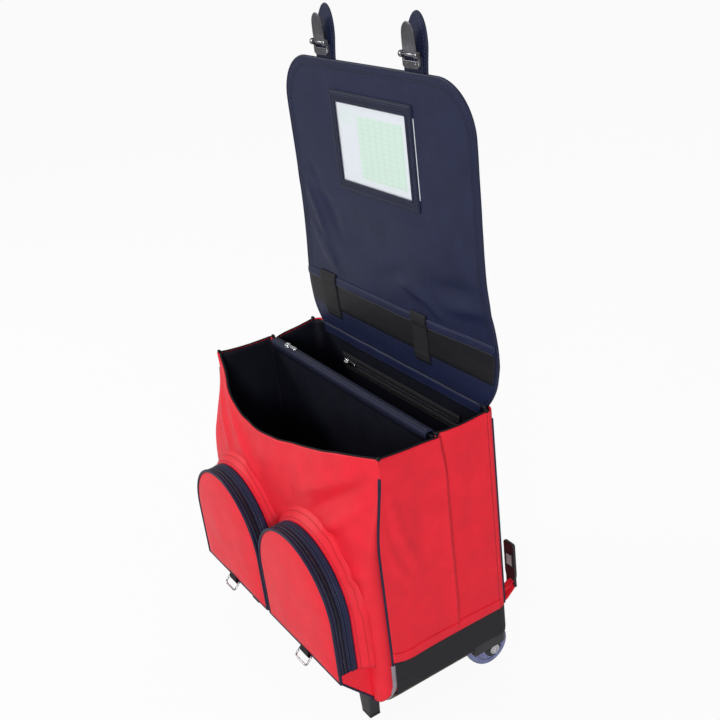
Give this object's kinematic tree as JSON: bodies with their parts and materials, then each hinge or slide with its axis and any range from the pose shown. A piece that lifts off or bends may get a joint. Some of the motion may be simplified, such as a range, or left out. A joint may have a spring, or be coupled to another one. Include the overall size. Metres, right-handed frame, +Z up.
{
  "type": "wheeled school satchel",
  "caption": "Wheeled school satchel with a fold-over flap, arched zip pockets, divider, clasps, strap clips and a telescopic pull handle.",
  "frame": {"origin": "centre of the bounding box's base, on the floor", "axes": "+Z up; -Y out of the front with the pockets; +X to the right seen from the front"},
  "size_m": [0.412, 0.287, 0.8573],
  "materials": {
    "red_cloth": "coated polyester weave",
    "lining_cloth": "fine black lining weave",
    "zip_tape": "navy zip tape with teeth",
    "base_cloth": "dotted hard-wearing base cloth",
    "board": "fibre board",
    "black_webbing": "woven webbing",
    "black_plastic": "fine moulded grain",
    "button_plastic": "moulded",
    "pad_rubber": "matt",
    "bolt_steel": "polished",
    "screw_steel": "zinc plated",
    "tube_alloy": "anodised",
    "tyre": "clear violet polyurethane",
    "hub_plastic": "moulded",
    "navy_cloth": "coated polyester weave",
    "frame_cloth": "bound edge",
    "film": "clear vinyl",
    "card": "printed card with plain ruled lines",
    "clasp_metal": "gunmetal",
    "wire_metal": "nickel wire",
    "slider_metal": "nickel"
  },
  "bodies": {
    "bag": {"front_panel": "red_cloth", "gusset_left": "red_cloth", "gusset_right": "red_cloth", "back_panel": "red_cloth", "lining": "lining_cloth", "divider": "lining_cloth", "divider_zip": "zip_tape", "back_pocket_zip": "zip_tape", "base_cover": "base_cloth", "base_board": "board", "pocket_panel_left": "red_cloth", "pocket_panel_right": "red_cloth", "pocket_zip_left": "zip_tape", "pocket_zip_right": "zip_tape", "loop_tabs": "black_webbing", "chassis_plate": "black_plastic", "wheel_housing_left": "black_plastic", "wheel_housing_right": "black_plastic", "wheel_axles": "bolt_steel", "front_feet": "black_plastic", "foot_pads": "pad_rubber", "clip_tabs": "red_cloth", "handle_sleeves": "tube_alloy", "handle_bracket": "black_plastic", "handle_collar": "black_plastic", "chassis_screws": "screw_steel"},
    "wheel_left": {"wheel_tyre_left": "tyre", "wheel_hub_left": "hub_plastic", "wheel_bearings_left": "bolt_steel"},
    "wheel_right": {"wheel_tyre_right": "tyre", "wheel_hub_right": "hub_plastic", "wheel_bearings_right": "bolt_steel"},
    "handle_middle": {"middle_tubes": "tube_alloy"},
    "handle_inner": {"inner_tubes": "tube_alloy", "handle_grip": "black_plastic", "button_spring": "screw_steel"},
    "release_button": {"grip_button": "button_plastic"},
    "flap_top": {"flap_lower": "navy_cloth", "mesh_pocket": "black_webbing", "webbing_tabs": "black_webbing"},
    "flap_front": {"flap_upper": "navy_cloth", "window_frame": "frame_cloth", "window_film": "film", "timetable_card": "card", "strap_left": "navy_cloth", "strap_right": "navy_cloth", "clasp_tabs": "navy_cloth", "clasp_base_left": "clasp_metal", "clasp_base_right": "clasp_metal"},
    "clasp_left": {"clasp_lever_left": "clasp_metal"},
    "clasp_right": {"clasp_lever_right": "clasp_metal"},
    "divider_zip_slider": {"divider_slider": "slider_metal"},
    "back_zip_slider": {"back_pocket_slider": "slider_metal"},
    "pocket_zip_slider_left": {"pocket_slider_left": "slider_metal"},
    "pocket_zip_slider_right": {"pocket_slider_right": "slider_metal"},
    "loop_left": {"wire_loop_left": "wire_metal"},
    "loop_right": {"wire_loop_right": "wire_metal"},
    "clip_left": {"strap_clip_left": "black_plastic"},
    "clip_right": {"strap_clip_right": "black_plastic"}
  },
  "joints": [
    {"name": "flap_hinge", "type": "hinge", "parent": "bag", "child": "flap_top", "pos_m": [0, 0.11805, 0.4053], "axis": [1, 0, 0], "range_deg": [0, 90]},
    {"name": "flap_fold", "type": "hinge", "parent": "flap_top", "child": "flap_front", "pos_m": [0, 0.11955, 0.6183], "axis": [1, 0, 0], "range_deg": [0, 68]},
    {"name": "wheel_spin_left", "type": "hinge", "parent": "bag", "child": "wheel_left", "pos_m": [-0.177, 0.10055, 0.032], "axis": [1, 0, 0], "continuous": true},
    {"name": "wheel_spin_right", "type": "hinge", "parent": "bag", "child": "wheel_right", "pos_m": [0.177, 0.10055, 0.032], "axis": [1, 0, 0], "continuous": true},
    {"name": "handle_stage_one", "type": "slide", "parent": "bag", "child": "handle_middle", "axis": [0, 0, 1], "range_m": [0, 0.26]},
    {"name": "handle_stage_two", "type": "slide", "parent": "handle_middle", "child": "handle_inner", "axis": [0, 0, 1], "range_m": [0, 0.26]},
    {"name": "release_press", "type": "slide", "parent": "handle_inner", "child": "release_button", "axis": [0, 0, -1], "range_m": [0, 0.003], "stiffness_N_per_m": 400, "deforming": ["button_spring"]},
    {"name": "clasp_open_left", "type": "hinge", "parent": "flap_front", "child": "clasp_left", "pos_m": [-0.098, 0.11805, 0.8133], "axis": [-1, 0, 0], "range_deg": [-35, 0]},
    {"name": "clasp_open_right", "type": "hinge", "parent": "flap_front", "child": "clasp_right", "pos_m": [0.098, 0.11805, 0.8133], "axis": [-1, 0, 0], "range_deg": [-35, 0]},
    {"name": "divider_zip_slide", "type": "slide", "parent": "bag", "child": "divider_zip_slider", "axis": [1, 0, 0], "range_m": [0, 0.3]},
    {"name": "back_zip_slide", "type": "slide", "parent": "bag", "child": "back_zip_slider", "axis": [1, 0, 0], "range_m": [0, 0.24]},
    {"name": "pocket_zip_run_left", "type": "hinge", "parent": "bag", "child": "pocket_zip_slider_left", "pos_m": [-0.095, -0.12145, 0.184], "axis": [0, 1, 0], "range_deg": [0, 120]},
    {"name": "pocket_zip_run_right", "type": "hinge", "parent": "bag", "child": "pocket_zip_slider_right", "pos_m": [0.095, -0.12145, 0.184], "axis": [0, 1, 0], "range_deg": [0, 120]},
    {"name": "loop_swing_left", "type": "hinge", "parent": "bag", "child": "loop_left", "pos_m": [-0.102, -0.13305, 0.0976], "axis": [1, 0, 0], "range_deg": [-100, 45]},
    {"name": "loop_swing_right", "type": "hinge", "parent": "bag", "child": "loop_right", "pos_m": [0.102, -0.13305, 0.0976], "axis": [1, 0, 0], "range_deg": [-100, 45]},
    {"name": "clip_swing_left", "type": "hinge", "parent": "bag", "child": "clip_left", "pos_m": [-0.196, 0.13855, 0.124], "axis": [1, 0, 0], "range_deg": [-150, 8]},
    {"name": "clip_swing_right", "type": "hinge", "parent": "bag", "child": "clip_right", "pos_m": [0.196, 0.13855, 0.124], "axis": [1, 0, 0], "range_deg": [-150, 8]}
  ]
}
